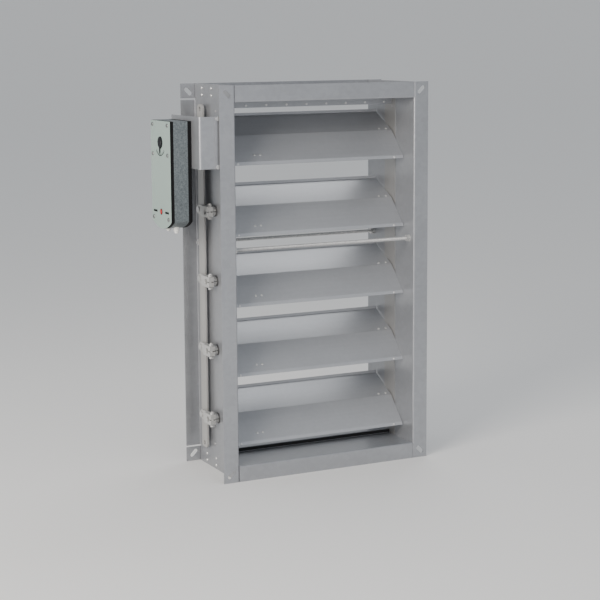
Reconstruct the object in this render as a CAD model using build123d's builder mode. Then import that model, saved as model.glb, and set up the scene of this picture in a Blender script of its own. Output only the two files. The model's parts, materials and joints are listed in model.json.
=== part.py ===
from build123d import *
import os
from math import atan2, cos, degrees, hypot, radians, sin

os.makedirs("parts", exist_ok=True)

# Multi-blade fire damper, in millimetres. The origin is on the floor at mid-width and mid-depth of
# the casing. X runs along the axles to the right, Y from the front face to the rear, Z up. Blade 1 is
# the top one.

# Casing
opening_width = 425.0
opening_height = 765.0
casing_depth = 208.0
flange_width = 35.0  # from the opening's face to the flange's free edge
casing_sheet = 2.0
casing_bend = 1.2  # inside radius of the folds
seam_gap = 0.4  # between sheet edges that meet at a corner
fixing_slot_length = 21.0
fixing_slot_width = 9.0
fixing_slot_turn = 45.0  # towards the corner
corner_tab_gap = 4.0  # from a corner tab to the flange's free edge
corner_rivet_outer = 9.0  # in from the flange's free edge
corner_rivet_inner = 24.0
corner_rivet_pitch = 50.0
corner_rivet_shift = 13.5  # middle column, behind the casing's mid-depth
corner_tab_margin = 12.0
rivet_shank = 2.4  # radius
rivet_head = 4.0  # radius
rivet_head_height = 2.0
rivet_head_taper = 40.0

# Blades
blade_count = 5
edge_margin = 7.5  # from the opening's edge to the first blade's share of the height
blade_sheet = 1.5
blade_bend = 2.5
blade_lap = 1.0  # of the upper facet past half the pitch
fold_rise = 12.0
fold_shift = -2.8
lower_facet_short = 1.0  # of the lower facet before half the pitch
upper_lip = 7.0
upper_lip_angle = 51.0
lower_lip = 6.5
lower_lip_angle = 32.0
blade_end_gap = 1.5  # between a blade's end and the jamb seal
rest_tilt = 37.0
closed_tilt = 87.4
stop_gap = 0.5  # between a closed blade and its stop seal

# Axles and bushes
axle_radius = 6.0
running_gap = 0.05
bush_wall = 2.95
bush_flange_lap = 3.0  # of a bush's flange on the jamb
bush_flange_height = 2.0
axle_end_stub = 3.0  # past the right bushes
saddle_length = 42.0
saddle_half = 20.0
saddle_side = 3.0
saddle_base = 9.0
saddle_relief = 4.0
saddle_rivet_depth = 5.0
fold_rivet_outer = 11.0  # in from a blade's end
fold_rivet_inner = 29.0
fold_rivet_offset = 6.3  # from the fold along the upper facet
lip_rivet_place = 22.0
lip_rivet_up = 3.2  # from the lower lip's edge
facet_rivet_outer = 66.5  # in from the left end
facet_rivet_inner = 80.0
facet_rivet_up = 17.5  # from the lower bend along the lower facet
blade_rivet_shank = 1.6
blade_rivet_head = 3.0
blade_rivet_height = 1.2
blade_rivet_tail = 1.0  # below the sheet

# Seals and stops
jamb_seal_width = 46.0
jamb_seal_sheet = 1.0
seal_rivet_front = 9.0  # of the upper ones, in front of the axles
seal_rivet_rear = 18.0  # of the lower ones, behind the axles
seal_rivet_end = 21.0  # in from a strip's ends
stop_sheet = 1.5
stop_foot = 24.0
head_stop_height = 16.0
sill_stop_height = 9.0
stop_seal_thickness = 3.0
head_seal_height = 10.0
sill_seal_height = 6.0
seal_rise = 1.5  # of the sill seal above the sill
stop_rivet_pitch = 48.0
stop_rivet_margin = 18.0  # in from a stop's ends, at least
stop_rivet_head = 2.6
stop_rivet_height = 1.2
stop_rivet_shank = 1.3
stop_rivet_bite = 2.0  # into the seal behind the leg

# Tie rods
rod_radius = 4.0
rod_front_inset = 21.0  # from the front face
rod_bar_gap = 12.0  # from the connecting bar to the rear rod's axis
rod_end = 3.5  # past the outer nuts
hex_sides = 6
nut_across = 13.0
nut_height = 6.5
washer_radius = 8.0
washer_height = 1.6

# Cranks and connecting bar
crank_radius = 50.0
crank_stand = 11.5  # from the jamb's outer face to the arm
arm_thickness = 6.0
arm_end_radius = 10.0
hub_thickness = 13.0
hub_front = 15.0
hub_rear = 22.0
hub_half_height = 11.5
hub_round = 3.0
boss_wall = 4.0
boss_gap = 0.5
clamp_slit = 2.0
clamp_bolt_place = 10.5  # in front of the axle
clamp_bolt_radius = 3.0
clamp_head_across = 9.0
clamp_head_height = 4.0
clamp_nut_height = 5.0
clamp_bolt_tail = 1.5
axle_recess = 3.0
bar_width = 30.0
bar_thickness = 4.0
bar_gap = 0.3  # to the crank arms
bar_overrun = 74.5
bar_end_round = 9.0
bar_end_hole = 4.5
bar_end_hole_place = 10.0
pin_radius = 4.0
pin_head_radius = 6.5
pin_head_height = 2.0
pin_tail_radius = 5.5
pin_tail_height = 1.2

# Actuator and its bracket
actuator_stand = 74.0  # from the jamb's outer face to the actuator's back
actuator_width = 106.0
actuator_above = 45.0  # above the top axle
actuator_below = 180.0
actuator_thickness = 48.5
actuator_top_round = 6.0
actuator_bottom_sag = 17.0  # of its curved bottom edge
actuator_bottom_round = 7.0
cover_sheet = 1.5
gasket_thickness = 6.5
gasket_inset = 0.8
gasket_width = 5.0
body_wall = 3.0
boss_bite = 1.0  # of a screw boss into the wall beside it
cover_screw_radius = 2.0
cover_screw_head = 4.2
cover_screw_head_height = 2.0
cover_screw_length = 15.0
cover_screw_side = 12.0  # in from the actuator's sides
cover_screw_top = 8.5  # in from its top
cover_screw_bottom = 22.0  # in from its bottom
cover_screw_drop = 25.0  # of the middle pair below the top axle
output_hub_radius = 12.0
output_hub_proud = 1.5
output_hub_gap = 0.6
output_drum_radius = 24.0
output_drum_length = 18.0
output_drum_inset = 8.0
barrel_gap = 2.0
barrel_edge_gap = 1.0  # to the screw bosses and the gasket
barrel_length = 28.0
gearbox_side_gap = 18.0  # to the actuator's sides
gearbox_height = 62.0
gearbox_gap = 10.0  # below the spring barrel
gearbox_length = 30.0
motor_radius = 13.0
motor_length = 42.0
gland_radius = 6.0
gland_height = 5.0
gland_inside = 9.0  # above the actuator's lowest edge
gland_nose_radius = 4.0
gland_nose_height = 4.0
gland_spread = 22.0
bracket_sheet = 2.5
bracket_bend = 2.0
bracket_above = 54.5  # above the top axle
bracket_below = 52.5
bracket_rear_lap = 2.0  # past the actuator's rear side
bracket_setback = 10.0  # from the front face to the web
bracket_hole = 20.0
bracket_end_gap = 20.5  # from the jamb's outer face to the web's end
foot_reach = 40.0  # of the foot's front leg from the jamb's outer face
foot_wall_leg = 36.5
foot_wall_screw_edge = 15.0  # in from the wall leg's rear edge
foot_wall_screw_pitch = 40.0
lap_screw_edge = 5.8  # in from the foot's outer edge
lap_screw_margin = 4.0
bracket_screw_radius = 2.5
bracket_screw_head = 4.5
bracket_screw_head_height = 3.0
bracket_screw_grip = 14.0
bracket_nut_height = 4.0
bracket_nut_across = 8.0
wall_screw_tail = 1.5

# Casing planes
jamb_inner = opening_width / 2
jamb_outer = jamb_inner + casing_sheet
flange_edge = jamb_inner + flange_width
front_face = -casing_depth / 2
rear_face = casing_depth / 2
sill_top = flange_width
head_bottom = flange_width + opening_height
casing_height = opening_height + 2 * flange_width
middle_height = casing_height / 2
fold_radius = casing_bend + casing_sheet
corner_tab_height = flange_width - corner_tab_gap
rod_front = front_face + rod_front_inset
rod_rear = crank_radius + bar_width / 2 + rod_bar_gap

# Blade axes, section and closed pose
blade_pitch = (opening_height - 2 * edge_margin) / blade_count
top_axis = middle_height + blade_pitch * (blade_count - 1) / 2
axis_heights = [top_axis - blade_pitch * number for number in range(blade_count)]
blade_half = jamb_inner - jamb_seal_sheet - blade_end_gap
upper_bend = (blade_pitch / 2 + blade_lap, 0.0)
lower_bend = (lower_facet_short - blade_pitch / 2, 0.0)
fold = (fold_shift, fold_rise)
upper_tip = (
    upper_bend[0] + upper_lip * cos(radians(upper_lip_angle)),
    upper_lip * sin(radians(upper_lip_angle)),
)
lower_tip = (
    lower_bend[0] - lower_lip * cos(radians(lower_lip_angle)),
    -lower_lip * sin(radians(lower_lip_angle)),
)
upper_angle = degrees(atan2(upper_bend[1] - fold[1], upper_bend[0] - fold[0]))
lower_angle = degrees(atan2(fold[1] - lower_bend[1], fold[0] - lower_bend[0]))
closed_cos = cos(radians(closed_tilt))
closed_sin = sin(radians(closed_tilt))
tip_front = (
    upper_tip[0] - blade_sheet * sin(radians(upper_lip_angle)),
    upper_tip[1] + blade_sheet * cos(radians(upper_lip_angle)),
)
head_seal_back = tip_front[0] * closed_cos - tip_front[1] * closed_sin - stop_gap
sill_seal_front = lower_tip[0] * closed_cos - lower_tip[1] * closed_sin + stop_gap
stop_half = jamb_inner - jamb_seal_sheet - seam_gap
bush_radius = axle_radius + running_gap + bush_wall
bush_flange_radius = bush_radius + bush_flange_lap
boss_radius = axle_radius + boss_wall
seal_rivet_points = [
    (-seal_rivet_front, head_bottom - seal_rivet_end),
    (seal_rivet_rear, sill_top + seal_rivet_end),
]

# Planes across the left side, counted outwards from the jamb
crank_inner = -(jamb_outer + crank_stand)
arm_outer = crank_inner - arm_thickness
hub_outer = crank_inner - hub_thickness
bar_outer = crank_inner + bar_gap
bar_inner = bar_outer + bar_thickness
actuator_back = -(jamb_outer + actuator_stand)
actuator_face = actuator_back - actuator_thickness
body_back = actuator_back - cover_sheet - gasket_thickness
body_face = actuator_face + cover_sheet + gasket_thickness
output_end = actuator_face - output_hub_proud
actuator_top = top_axis + actuator_above
actuator_bottom = top_axis - actuator_below
bracket_top = top_axis + bracket_above
bracket_bottom = top_axis - bracket_below
rod_height = (axis_heights[1] + axis_heights[2]) / 2
cover_screw_spread = actuator_width / 2 - cover_screw_side
cover_screw_levels = (
    actuator_top - cover_screw_top,
    top_axis - cover_screw_drop,
    actuator_bottom + cover_screw_bottom,
)
cover_screw_points = [
    (side * cover_screw_spread, level) for level in cover_screw_levels for side in (-1, 1)
]
fixing_screw_points = cover_screw_points[:-2]  # the bracket's screws come from behind, in the upper bosses
screw_boss = cover_screw_side - body_wall + boss_bite
boss_room = hypot(cover_screw_spread, cover_screw_drop) - screw_boss
gasket_room = actuator_above - gasket_inset - gasket_width
barrel_radius = min(boss_room, gasket_room) - barrel_edge_gap
gearbox_width = actuator_width - 2 * gearbox_side_gap
bracket_rear = actuator_width / 2 + bracket_rear_lap
bracket_web = front_face + bracket_setback
foot_front = bracket_web - bracket_sheet
foot_edge = jamb_outer + foot_reach
foot_wall_end = foot_front + foot_wall_leg
foot_wall_screw = foot_wall_end - foot_wall_screw_edge
bracket_lap_end = jamb_outer + bracket_end_gap
lap_screw_place = foot_edge - lap_screw_edge
wall_screw_points = [(foot_wall_screw, top_axis + foot_wall_screw_pitch * step) for step in (-1, 0, 1)]
lap_screw_points = [
    (-lap_screw_place, bracket_bottom + lap_screw_margin),
    (-lap_screw_place, bracket_top - lap_screw_margin),
]
body_middle = (body_back + body_face) / 2
hub_middle = (crank_inner + hub_outer) / 2


def write(part, name):
    part.label = name
    export_step(part, f"parts/{name}.step")


def blade_plane(height, x=0.0, tilt=rest_tilt):
    # Local x lies along a blade's chord, towards its upper edge, and local y along its front normal.
    return Plane(origin=(x, 0, height), x_dir=(0, cos(radians(tilt)), sin(radians(tilt))), z_dir=(1, 0, 0))


def facet_plane(height, x, start, angle, along):
    # On the top of a blade facet that leaves the point start at an angle to the chord, facing outwards.
    u = start[0] + along * cos(radians(angle)) - blade_sheet * sin(radians(angle))
    n = start[1] + along * sin(radians(angle)) + blade_sheet * cos(radians(angle))
    base = blade_plane(height, x)
    outwards = base.x_dir * -sin(radians(angle)) + base.y_dir * cos(radians(angle))
    return Plane(origin=base.from_local_coords((u, n, 0)), x_dir=(1, 0, 0), z_dir=outwards)


def saddle_rivet_planes(height, side):
    places = [side * (blade_half - place) for place in (fold_rivet_outer, fold_rivet_inner)]
    return [facet_plane(height, x, fold, upper_angle, fold_rivet_offset) for x in places]


def sheet_rivet_planes(height):
    planes = [
        facet_plane(height, place - blade_half, lower_bend, lower_angle, facet_rivet_up)
        for place in (facet_rivet_outer, facet_rivet_inner)
    ]
    for side in (-1, 1):
        x = side * (blade_half - lip_rivet_place)
        planes.append(facet_plane(height, x, lower_tip, lower_lip_angle, lip_rivet_up))
    return planes


def corner_rivet_points(up):
    columns = [corner_rivet_shift + corner_rivet_pitch * step for step in (-1, 0, 1)]
    edge = casing_height if up > 0 else 0.0
    rows = [edge - up * row for row in (corner_rivet_outer, corner_rivet_inner)]
    return [(column, row) for column in columns for row in rows]


# Jamb channels, with their flanges turned outwards. They own the front corners.
def jamb(side):
    turn = Side.RIGHT if side > 0 else Side.LEFT
    with BuildPart() as channel:
        with BuildSketch(Plane.XY):
            with BuildLine():
                FilletPolyline(
                    (side * flange_edge, front_face),
                    (side * jamb_inner, front_face),
                    (side * jamb_inner, rear_face),
                    (side * flange_edge, rear_face),
                    radius=fold_radius,
                )
                offset(amount=casing_sheet, side=turn)
            make_face()
        extrude(amount=casing_height)
        notch_depth = fold_radius + seam_gap
        with BuildSketch(Plane.XZ.offset(-rear_face)):
            for middle in (sill_top / 2, casing_height - flange_width / 2):
                with Locations((side * flange_edge, middle)):
                    Rectangle(2 * flange_width + 2 * casing_sheet, flange_width + 2 * seam_gap)
        extrude(amount=notch_depth, mode=Mode.SUBTRACT)
        with BuildSketch(Plane.XZ.offset(-front_face)):
            for up in (-1, 1):
                place = (
                    side * (flange_edge - flange_width / 2),
                    middle_height + up * (middle_height - flange_width / 2),
                )
                with Locations(place):
                    SlotOverall(fixing_slot_length, fixing_slot_width, rotation=fixing_slot_turn * side * up)
        extrude(amount=-casing_sheet, mode=Mode.SUBTRACT)
        with BuildSketch(Plane.YZ.offset(side * jamb_inner)):
            with Locations(*[(0, height) for height in axis_heights]):
                Circle(bush_radius)
            with Locations((rod_front, rod_height), (rod_rear, rod_height)):
                Circle(rod_radius)
            with Locations(*corner_rivet_points(1), *corner_rivet_points(-1)):
                Circle(rivet_shank)
            with Locations(*seal_rivet_points):
                Circle(stop_rivet_shank)
            if side < 0:
                with Locations(*wall_screw_points):
                    Circle(bracket_screw_radius)
        extrude(amount=side * casing_sheet, mode=Mode.SUBTRACT)
    return channel


write(jamb(-1).part, "left_jamb")
write(jamb(1).part, "right_jamb")


# Head and sill channels between the jambs. Their rear flanges run the full width and own the rear corners.
def rail(up):
    web = head_bottom if up > 0 else sill_top
    edge = casing_height if up > 0 else 0.0
    turn = Side.LEFT if up > 0 else Side.RIGHT
    flange_middle = (web + edge) / 2
    tab_middle = web + up * corner_tab_height / 2
    tab_length = 2 * corner_rivet_pitch + 2 * corner_tab_margin
    with BuildPart() as channel:
        with BuildSketch(Plane.YZ):
            with BuildLine():
                FilletPolyline(
                    (front_face, edge),
                    (front_face, web),
                    (rear_face, web),
                    (rear_face, edge),
                    radius=fold_radius,
                )
                offset(amount=casing_sheet, side=turn)
            make_face()
        extrude(amount=jamb_inner - seam_gap, both=True)
        with BuildSketch(Plane.XZ.offset(-rear_face)):
            with Locations((0, flange_middle + up * fold_radius / 2)):
                Rectangle(2 * flange_edge, flange_width - fold_radius)
        extrude(amount=casing_sheet)
        for side in (-1, 1):
            with BuildSketch(Plane.YZ.offset(side * jamb_inner)):
                with Locations((corner_rivet_shift, tab_middle)):
                    Rectangle(tab_length, corner_tab_height)
            extrude(amount=-side * casing_sheet)
            with BuildSketch(Plane.YZ.offset(side * jamb_inner)):
                with Locations(*corner_rivet_points(up)):
                    Circle(rivet_shank)
            extrude(amount=-side * casing_sheet, mode=Mode.SUBTRACT)
        with BuildSketch(Plane.XZ.offset(-rear_face)):
            for side in (-1, 1):
                with Locations((side * (flange_edge - flange_width / 2), flange_middle)):
                    SlotOverall(fixing_slot_length, fixing_slot_width, rotation=fixing_slot_turn * side * up)
        extrude(amount=casing_sheet, mode=Mode.SUBTRACT)
    return channel


write(rail(1).part, "head_channel")
write(rail(-1).part, "sill_channel")

with BuildPart() as corner_rivets:
    for side in (-1, 1):
        for point in corner_rivet_points(1) + corner_rivet_points(-1):
            outer = Plane(origin=(side * jamb_outer, *point), x_dir=(0, 1, 0), z_dir=(side, 0, 0))
            with BuildSketch(outer):
                Circle(rivet_head)
            extrude(amount=rivet_head_height, taper=rivet_head_taper)
            with BuildSketch(outer):
                Circle(rivet_shank)
            extrude(amount=-2 * casing_sheet)
write(corner_rivets.part, "corner_rivets")

# Stop angles and their seals. The head stop hangs in front of the closed top blade, and the sill stop
# stands behind the closed bottom one.
head_leg_back = head_seal_back - stop_seal_thickness
with BuildPart() as head_stop:
    with BuildSketch(Plane.YZ):
        with BuildLine():
            Polyline(
                (head_leg_back - stop_foot, head_bottom),
                (head_leg_back, head_bottom),
                (head_leg_back, head_bottom - head_stop_height),
            )
            offset(amount=stop_sheet, side=Side.RIGHT)
        make_face()
    extrude(amount=stop_half, both=True)
    stop_rivet_count = 1 + int(2 * (stop_half - stop_rivet_margin) / stop_rivet_pitch)
    head_rivet_level = head_bottom - head_stop_height + head_seal_height / 2
    with BuildSketch(Plane.XZ.offset(-head_leg_back)):
        with Locations((0, head_rivet_level)):
            with GridLocations(stop_rivet_pitch, stop_rivet_pitch, stop_rivet_count, 1):
                Circle(stop_rivet_shank)
    extrude(amount=stop_sheet, mode=Mode.SUBTRACT)
write(head_stop.part, "head_stop")

with BuildPart() as head_seal:
    with BuildSketch(Plane.XZ.offset(-head_leg_back)):
        with Locations((0, head_rivet_level)):
            Rectangle(2 * stop_half, head_seal_height)
    extrude(amount=-stop_seal_thickness)
    with BuildSketch(Plane.XZ.offset(-head_leg_back)):
        with Locations((0, head_rivet_level)):
            with GridLocations(stop_rivet_pitch, stop_rivet_pitch, stop_rivet_count, 1):
                Circle(stop_rivet_shank)
    extrude(amount=-stop_rivet_bite, mode=Mode.SUBTRACT)
write(head_seal.part, "head_seal")

sill_leg_front = sill_seal_front + stop_seal_thickness
with BuildPart() as sill_stop:
    with BuildSketch(Plane.YZ):
        with BuildLine():
            Polyline(
                (sill_leg_front + stop_foot, sill_top),
                (sill_leg_front, sill_top),
                (sill_leg_front, sill_top + sill_stop_height),
            )
            offset(amount=stop_sheet, side=Side.RIGHT)
        make_face()
    extrude(amount=stop_half, both=True)
    sill_rivet_level = sill_top + seal_rise + sill_seal_height / 2
    with BuildSketch(Plane.XZ.offset(-sill_leg_front)):
        with Locations((0, sill_rivet_level)):
            with GridLocations(stop_rivet_pitch, stop_rivet_pitch, stop_rivet_count, 1):
                Circle(stop_rivet_shank)
    extrude(amount=-stop_sheet, mode=Mode.SUBTRACT)
write(sill_stop.part, "sill_stop")

with BuildPart() as sill_seal:
    with BuildSketch(Plane.XZ.offset(-sill_leg_front)):
        with Locations((0, sill_rivet_level)):
            Rectangle(2 * stop_half, sill_seal_height)
    extrude(amount=stop_seal_thickness)
    with BuildSketch(Plane.XZ.offset(-sill_leg_front)):
        with Locations((0, sill_rivet_level)):
            with GridLocations(stop_rivet_pitch, stop_rivet_pitch, stop_rivet_count, 1):
                Circle(stop_rivet_shank)
    extrude(amount=stop_rivet_bite, mode=Mode.SUBTRACT)
write(sill_seal.part, "sill_seal")

with BuildPart() as stop_rivets:
    grip = stop_sheet + stop_rivet_bite
    front_of_head_leg = Plane.XZ.offset(stop_sheet - head_leg_back)
    back_of_sill_leg = Plane.XZ.offset(-sill_leg_front - stop_sheet)
    for face, level, out in (
        (front_of_head_leg, head_rivet_level, 1),
        (back_of_sill_leg, sill_rivet_level, -1),
    ):
        for radius, amount in ((stop_rivet_head, out * stop_rivet_height), (stop_rivet_shank, -out * grip)):
            with BuildSketch(face):
                with Locations((0, level)):
                    with GridLocations(stop_rivet_pitch, stop_rivet_pitch, stop_rivet_count, 1):
                        Circle(radius)
            extrude(amount=amount)
write(stop_rivets.part, "stop_rivets")

# Spring strips on the jambs that the blade ends run against.
with BuildPart() as jamb_seals:
    for side in (-1, 1):
        with BuildSketch(Plane.YZ.offset(side * jamb_inner)):
            with Locations((0, middle_height)):
                Rectangle(jamb_seal_width, opening_height)
            with Locations(*[(0, height) for height in axis_heights]):
                Circle(bush_radius, mode=Mode.SUBTRACT)
            with Locations(*seal_rivet_points):
                Circle(stop_rivet_shank, mode=Mode.SUBTRACT)
        extrude(amount=-side * jamb_seal_sheet)
write(jamb_seals.part, "jamb_seals")

with BuildPart() as seal_rivets:
    for side in (-1, 1):
        for radius, amount in (
            (stop_rivet_head, stop_rivet_height),
            (stop_rivet_shank, -casing_sheet - jamb_seal_sheet),
        ):
            with BuildSketch(Plane.YZ.offset(side * jamb_outer)):
                with Locations(*seal_rivet_points):
                    Circle(radius)
            extrude(amount=side * amount)
write(seal_rivets.part, "seal_rivets")

with BuildPart() as axle_bushes:
    for side in (-1, 1):
        with BuildSketch(Plane.YZ.offset(side * jamb_outer)):
            with Locations(*[(0, height) for height in axis_heights]):
                Circle(bush_flange_radius)
        extrude(amount=side * bush_flange_height)
        with BuildSketch(Plane.YZ.offset(side * jamb_outer)):
            with Locations(*[(0, height) for height in axis_heights]):
                Circle(bush_radius)
        extrude(amount=-side * (casing_sheet + jamb_seal_sheet))
        with BuildSketch(Plane.YZ.offset(side * (jamb_outer + bush_flange_height))):
            with Locations(*[(0, height) for height in axis_heights]):
                Circle(axle_radius + running_gap)
        extrude(amount=-side * (bush_flange_height + casing_sheet + jamb_seal_sheet), mode=Mode.SUBTRACT)
write(axle_bushes.part, "axle_bushes")

# Threaded tie rods across the opening, with nuts and washers on both faces of each jamb.
rod_points = [(rod_front, rod_height), (rod_rear, rod_height)]
rod_half = jamb_outer + washer_height + nut_height + rod_end
with BuildPart() as tie_rods:
    with BuildSketch(Plane.YZ):
        with Locations(*rod_points):
            Circle(rod_radius)
    extrude(amount=rod_half, both=True)
write(tie_rods.part, "tie_rods")

with BuildPart() as tie_rod_washers:
    for side in (-1, 1):
        for face, out in ((jamb_outer, side), (jamb_inner, -side)):
            with BuildSketch(Plane.YZ.offset(side * face)):
                with Locations(*rod_points):
                    Circle(washer_radius)
                    Circle(rod_radius, mode=Mode.SUBTRACT)
            extrude(amount=out * washer_height)
write(tie_rod_washers.part, "tie_rod_washers")

with BuildPart() as tie_rod_nuts:
    for side in (-1, 1):
        for face, out in ((jamb_outer + washer_height, side), (jamb_inner - washer_height, -side)):
            with BuildSketch(Plane.YZ.offset(side * face)):
                with Locations(*rod_points):
                    RegularPolygon(nut_across / 2, hex_sides, major_radius=False)
                    Circle(rod_radius, mode=Mode.SUBTRACT)
            extrude(amount=out * nut_height)
write(tie_rod_nuts.part, "tie_rod_nuts")

# Blades with their stub axles, rivets, cranks and clamp bolts
under_slope = (fold[1] - upper_bend[1]) / (upper_bend[0] - fold[0])
rise_slope = (fold[1] - lower_bend[1]) / (fold[0] - lower_bend[0])
relief_left = (fold[0] - saddle_relief, fold[1] - saddle_relief * rise_slope)
relief_right = (fold[0] + saddle_relief, fold[1] - saddle_relief * under_slope)
saddle_left = (-saddle_half, fold[1] - (fold[0] + saddle_half) * rise_slope)
saddle_right = (saddle_half, fold[1] - (saddle_half - fold[0]) * under_slope)
saddle_points = (
    saddle_left,
    relief_left,
    relief_right,
    saddle_right,
    (saddle_half, saddle_side),
    (saddle_base, -saddle_base),
    (-saddle_base, -saddle_base),
    (-saddle_half, saddle_side),
)
right_axle_end = jamb_outer + bush_flange_height + axle_end_stub


def stub_axle(height, side, outer_end):
    with BuildPart() as axle:
        with BuildSketch(blade_plane(height, side * blade_half)):
            Polygon(*saddle_points, align=None)
        extrude(amount=-side * saddle_length)
        with BuildSketch(blade_plane(height, side * (blade_half - saddle_length))):
            Circle(axle_radius)
        extrude(amount=side * (outer_end - blade_half + saddle_length))
        for face in saddle_rivet_planes(height, side):
            with BuildSketch(face):
                Circle(blade_rivet_shank)
            extrude(amount=-blade_sheet - saddle_rivet_depth, mode=Mode.SUBTRACT)
    return axle


def crank(height):
    # A cast lever, clamped on the axle by a split hub, with its arm level at the half-open pose.
    arm_face = Plane(origin=(crank_inner, 0, height), x_dir=(0, 1, 0), z_dir=(1, 0, 0))
    bolt_face = Plane(origin=(hub_middle, -clamp_bolt_place, height), x_dir=(1, 0, 0), z_dir=(0, 0, 1))
    with BuildPart() as lever:
        with BuildSketch(arm_face):
            Circle(hub_half_height)
            with Locations((crank_radius, 0)):
                Circle(arm_end_radius)
            make_hull()
        extrude(amount=-arm_thickness)
        with BuildSketch(arm_face):
            with Locations(((hub_rear - hub_front) / 2, 0)):
                RectangleRounded(hub_front + hub_rear, 2 * hub_half_height, hub_round)
        extrude(amount=-hub_thickness)
        with BuildSketch(arm_face):
            Circle(boss_radius)
        extrude(amount=crank_stand - bush_flange_height - boss_gap)
        with BuildSketch(arm_face):
            Circle(axle_radius)
            with Locations((-hub_front, 0)):
                Rectangle(2 * hub_front, clamp_slit)
        extrude(amount=hub_thickness, both=True, mode=Mode.SUBTRACT)
        with BuildSketch(arm_face):
            with Locations((crank_radius, 0)):
                Circle(pin_radius + running_gap)
        extrude(amount=-arm_thickness, mode=Mode.SUBTRACT)
        with BuildSketch(bolt_face):
            Circle(clamp_bolt_radius)
        extrude(amount=hub_half_height, both=True, mode=Mode.SUBTRACT)
    return lever


def clamp_bolt(height):
    bolt_face = Plane(origin=(hub_middle, -clamp_bolt_place, height), x_dir=(1, 0, 0), z_dir=(0, 0, 1))
    with BuildPart() as bolt:
        with BuildSketch(bolt_face.offset(-hub_half_height)):
            RegularPolygon(clamp_head_across / 2, hex_sides, major_radius=False)
        extrude(amount=-clamp_head_height)
        with BuildSketch(bolt_face.offset(-hub_half_height)):
            Circle(clamp_bolt_radius)
        extrude(amount=2 * hub_half_height + clamp_nut_height + clamp_bolt_tail)
    with BuildPart() as nut:
        with BuildSketch(bolt_face.offset(hub_half_height)):
            RegularPolygon(clamp_head_across / 2, hex_sides, major_radius=False)
            Circle(clamp_bolt_radius, mode=Mode.SUBTRACT)
        extrude(amount=clamp_nut_height)
    return Compound(children=[bolt.part, nut.part])


for number, height in enumerate(axis_heights, start=1):
    sheet_rivets = sheet_rivet_planes(height)
    saddle_rivets = saddle_rivet_planes(height, -1) + saddle_rivet_planes(height, 1)
    with BuildPart() as blade:
        with BuildSketch(blade_plane(height)):
            with BuildLine():
                FilletPolyline(lower_tip, lower_bend, fold, upper_bend, upper_tip, radius=blade_bend)
                offset(amount=blade_sheet, side=Side.LEFT)
            make_face()
        extrude(amount=blade_half, both=True)
        for face in sheet_rivets + saddle_rivets:
            with BuildSketch(face):
                Circle(blade_rivet_shank)
            extrude(amount=-2 * blade_sheet, mode=Mode.SUBTRACT)
    write(blade.part, f"blade_{number}")

    with BuildPart() as blade_rivets:
        for faces, tail in ((sheet_rivets, blade_rivet_tail), (saddle_rivets, saddle_rivet_depth)):
            for face in faces:
                with BuildSketch(face):
                    Circle(blade_rivet_head)
                extrude(amount=blade_rivet_height, taper=rivet_head_taper)
                with BuildSketch(face):
                    Circle(blade_rivet_shank)
                extrude(amount=-blade_sheet - tail)
    write(blade_rivets.part, f"blade_rivets_{number}")

    left_end = -output_end if number == 1 else -hub_outer - axle_recess
    write(stub_axle(height, -1, left_end).part, f"left_axle_{number}")
    write(stub_axle(height, 1, right_axle_end).part, f"right_axle_{number}")
    write(crank(height).part, f"crank_{number}")
    write(clamp_bolt(height), f"clamp_bolt_{number}")

# Connecting bar, and the pins riveted in it that the cranks turn on
pin_points = [(crank_radius, height) for height in axis_heights]
bar_ends = (axis_heights[-1] - bar_overrun, axis_heights[0] + bar_overrun)
with BuildPart() as link_bar:
    with BuildSketch(Plane.YZ.offset(bar_outer)):
        with Locations((crank_radius, middle_height)):
            RectangleRounded(bar_width, bar_ends[1] - bar_ends[0], bar_end_round)
        with Locations(*pin_points):
            Circle(pin_radius, mode=Mode.SUBTRACT)
        with Locations(
            (crank_radius, bar_ends[0] + bar_end_hole_place),
            (crank_radius, bar_ends[1] - bar_end_hole_place),
        ):
            Circle(bar_end_hole, mode=Mode.SUBTRACT)
    extrude(amount=bar_thickness)
write(link_bar.part, "link_bar")

with BuildPart() as link_pins:
    pin_head_face = arm_outer - bar_gap
    with BuildSketch(Plane.YZ.offset(pin_head_face)):
        with Locations(*pin_points):
            Circle(pin_head_radius)
    extrude(amount=-pin_head_height)
    with BuildSketch(Plane.YZ.offset(pin_head_face)):
        with Locations(*pin_points):
            Circle(pin_radius)
    extrude(amount=bar_inner - pin_head_face)
    with BuildSketch(Plane.YZ.offset(bar_inner)):
        with Locations(*pin_points):
            Circle(pin_tail_radius)
    extrude(amount=pin_tail_height, taper=rivet_head_taper)
write(link_pins.part, "link_pins")


# Actuator: a flat housing on the top axle
def actuator_outline(inset=0.0, mode=Mode.ADD):
    half = actuator_width / 2
    side_end = actuator_bottom + actuator_bottom_sag
    with BuildSketch(mode=Mode.PRIVATE) as outline:
        with BuildLine():
            Polyline((half, side_end), (half, actuator_top), (-half, actuator_top), (-half, side_end))
            ThreePointArc((-half, side_end), (0, actuator_bottom), (half, side_end))
        make_face()
        corners = outline.vertices().group_by(Axis.Y)
        fillet(corners[0], actuator_bottom_round)
        fillet(corners[-1], actuator_top_round)
        if inset:
            offset(amount=-inset, mode=Mode.REPLACE)
    add(outline.sketch, mode=mode)


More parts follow.
